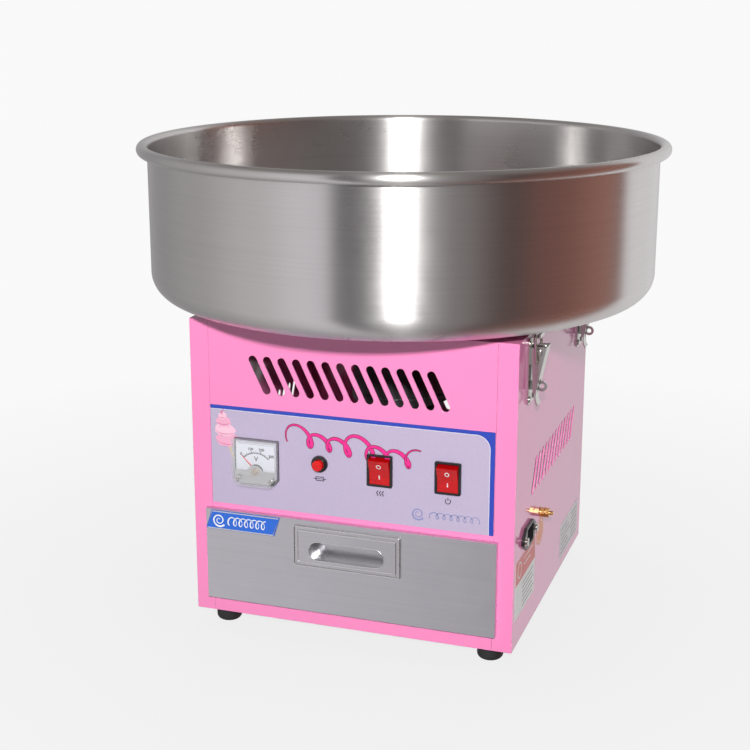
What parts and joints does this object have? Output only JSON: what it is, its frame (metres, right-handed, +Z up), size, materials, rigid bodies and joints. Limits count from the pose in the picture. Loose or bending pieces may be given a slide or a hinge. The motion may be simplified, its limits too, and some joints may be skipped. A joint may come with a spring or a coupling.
{
  "type": "cotton candy machine",
  "caption": "Table-top cotton candy machine: square pink cabinet with catch drawer, meter and rocker switches, toggle latches and a large stainless bowl with a spinner head.",
  "frame": {"origin": "on the table, under the middle of the cabinet and of the bowl", "axes": "+Z up, the front with the drawer faces -Y, +X towards the side with the mains inlet"},
  "size_m": [0.52, 0.52, 0.4699],
  "materials": {
    "pink_paint": "semi-gloss powder coat, bright pink",
    "zinc_plate": "bright zinc-plated pressed steel",
    "stainless": "fine satin stainless steel",
    "overlay_film": "printed satin film, lavender with a blue edge",
    "black_plastic": "moulded black plastic",
    "clear_cover": "clear moulded window",
    "white_plastic": "white moulded plastic",
    "red_plastic": "translucent red plastic",
    "brass": "bright turned brass",
    "black_rubber": "matt black rubber",
    "aluminium": "turned aluminium",
    "motor_iron": "dark painted motor body",
    "carbon": "carbon",
    "lead_insulation": "PVC-covered wire",
    "badge_film": "domed blue badge with a silver edge",
    "ceramic_heater": "ceramic heating ring"
  },
  "bodies": {
    "cabinet": {"base_tray": "pink_paint", "bowl": "stainless", "bowl_keepers": "zinc_plate", "bowl_seat": "black_rubber", "breaker_body": "black_plastic", "breaker_nut": "black_plastic", "brush_holder": "black_plastic", "carbon_brushes": "carbon", "control_overlay": "overlay_film", "drawer_bay": "zinc_plate", "drawer_rails": "zinc_plate", "front_left_latch_base": "zinc_plate", "front_panel": "pink_paint", "front_right_latch_base": "zinc_plate", "ground_nuts": "brass", "ground_stud": "brass", "heat_switch_body": "black_plastic", "inlet_pins": "brass", "internal_leads": "lead_insulation", "latch_rivets": "zinc_plate", "left_side_panel": "pink_paint", "machine_screws": "zinc_plate", "meter_case": "black_plastic", "meter_cover": "clear_cover", "meter_dial": "white_plastic", "meter_movement": "brass", "motor": "motor_iron", "motor_mounts": "black_rubber", "power_inlet": "black_plastic", "power_switch_body": "black_plastic", "rear_left_latch_base": "zinc_plate", "rear_panel": "pink_paint", "rear_right_latch_base": "zinc_plate", "right_side_panel": "pink_paint", "rubber_feet": "black_rubber", "shaft_bearings": "zinc_plate", "terminal_block": "white_plastic", "top_deck": "pink_paint"},
    "drawer": {"drawer_box": "stainless", "drawer_front": "stainless", "drawer_pull": "stainless", "drawer_badge": "badge_film"},
    "spinner": {"spinner_shaft": "zinc_plate", "slip_rings": "brass", "spinner_base": "aluminium", "heater_ring": "ceramic_heater", "spinner_band": "aluminium", "spinner_cap": "aluminium"},
    "meter_needle": {"meter_needle": "red_plastic"},
    "breaker_button": {"breaker_button": "red_plastic"},
    "heat_rocker": {"heat_switch_rocker": "red_plastic"},
    "power_rocker": {"power_switch_rocker": "red_plastic"},
    "front_right_lever": {"front_right_latch_lever": "zinc_plate"},
    "front_right_bail": {"front_right_latch_bail": "zinc_plate"},
    "rear_right_lever": {"rear_right_latch_lever": "zinc_plate"},
    "rear_right_bail": {"rear_right_latch_bail": "zinc_plate"},
    "front_left_lever": {"front_left_latch_lever": "zinc_plate"},
    "front_left_bail": {"front_left_latch_bail": "zinc_plate"},
    "rear_left_lever": {"rear_left_latch_lever": "zinc_plate"},
    "rear_left_bail": {"rear_left_latch_bail": "zinc_plate"}
  },
  "joints": [
    {"name": "drawer_slide", "type": "slide", "parent": "cabinet", "child": "drawer", "axis": [0, -1, 0], "range_m": [0, 0.2]},
    {"name": "spinner_turn", "type": "hinge", "parent": "cabinet", "child": "spinner", "pos_m": [0, 0, 0.33], "axis": [0, 0, 1], "continuous": true},
    {"name": "meter_swing", "type": "hinge", "parent": "cabinet", "child": "meter_needle", "pos_m": [-0.0927, -0.1641, 0.168], "axis": [0, 1, 0], "range_deg": [0, 90], "stiffness_Nm_per_rad": 0.0005},
    {"name": "breaker_press", "type": "slide", "parent": "cabinet", "child": "breaker_button", "axis": [0, 1, 0], "range_m": [0, 0.0025], "stiffness_N_per_m": 400},
    {"name": "heat_switch_tilt", "type": "hinge", "parent": "cabinet", "child": "heat_rocker", "pos_m": [0.0312, -0.158, 0.181], "axis": [-1, 0, 0], "range_deg": [0, 24]},
    {"name": "power_switch_tilt", "type": "hinge", "parent": "cabinet", "child": "power_rocker", "pos_m": [0.0969, -0.158, 0.181], "axis": [-1, 0, 0], "range_deg": [0, 24]},
    {"name": "front_right_lever_turn", "type": "hinge", "parent": "cabinet", "child": "front_right_lever", "pos_m": [0.1695, -0.114, 0.296], "axis": [0, -1, 0], "range_deg": [0, 90]},
    {"name": "front_right_bail_turn", "type": "hinge", "parent": "front_right_lever", "child": "front_right_bail", "pos_m": [0.168, -0.114, 0.2865], "axis": [0, -1, 0], "range_deg": [-63, 0]},
    {"name": "rear_right_lever_turn", "type": "hinge", "parent": "cabinet", "child": "rear_right_lever", "pos_m": [0.1695, 0.114, 0.296], "axis": [0, -1, 0], "range_deg": [0, 90]},
    {"name": "rear_right_bail_turn", "type": "hinge", "parent": "rear_right_lever", "child": "rear_right_bail", "pos_m": [0.168, 0.114, 0.2865], "axis": [0, -1, 0], "range_deg": [-63, 0]},
    {"name": "front_left_lever_turn", "type": "hinge", "parent": "cabinet", "child": "front_left_lever", "pos_m": [-0.1695, -0.114, 0.296], "axis": [0, 1, 0], "range_deg": [0, 90]},
    {"name": "front_left_bail_turn", "type": "hinge", "parent": "front_left_lever", "child": "front_left_bail", "pos_m": [-0.168, -0.114, 0.2865], "axis": [0, 1, 0], "range_deg": [-63, 0]},
    {"name": "rear_left_lever_turn", "type": "hinge", "parent": "cabinet", "child": "rear_left_lever", "pos_m": [-0.1695, 0.114, 0.296], "axis": [0, 1, 0], "range_deg": [0, 90]},
    {"name": "rear_left_bail_turn", "type": "hinge", "parent": "rear_left_lever", "child": "rear_left_bail", "pos_m": [-0.168, 0.114, 0.2865], "axis": [0, 1, 0], "range_deg": [-63, 0]}
  ],
  "couplings": [
    {"joint": "front_right_bail_turn", "follows": "front_right_lever_turn", "ratio": -0.7},
    {"joint": "rear_right_bail_turn", "follows": "rear_right_lever_turn", "ratio": -0.7},
    {"joint": "front_left_bail_turn", "follows": "front_left_lever_turn", "ratio": -0.7},
    {"joint": "rear_left_bail_turn", "follows": "rear_left_lever_turn", "ratio": -0.7}
  ]
}
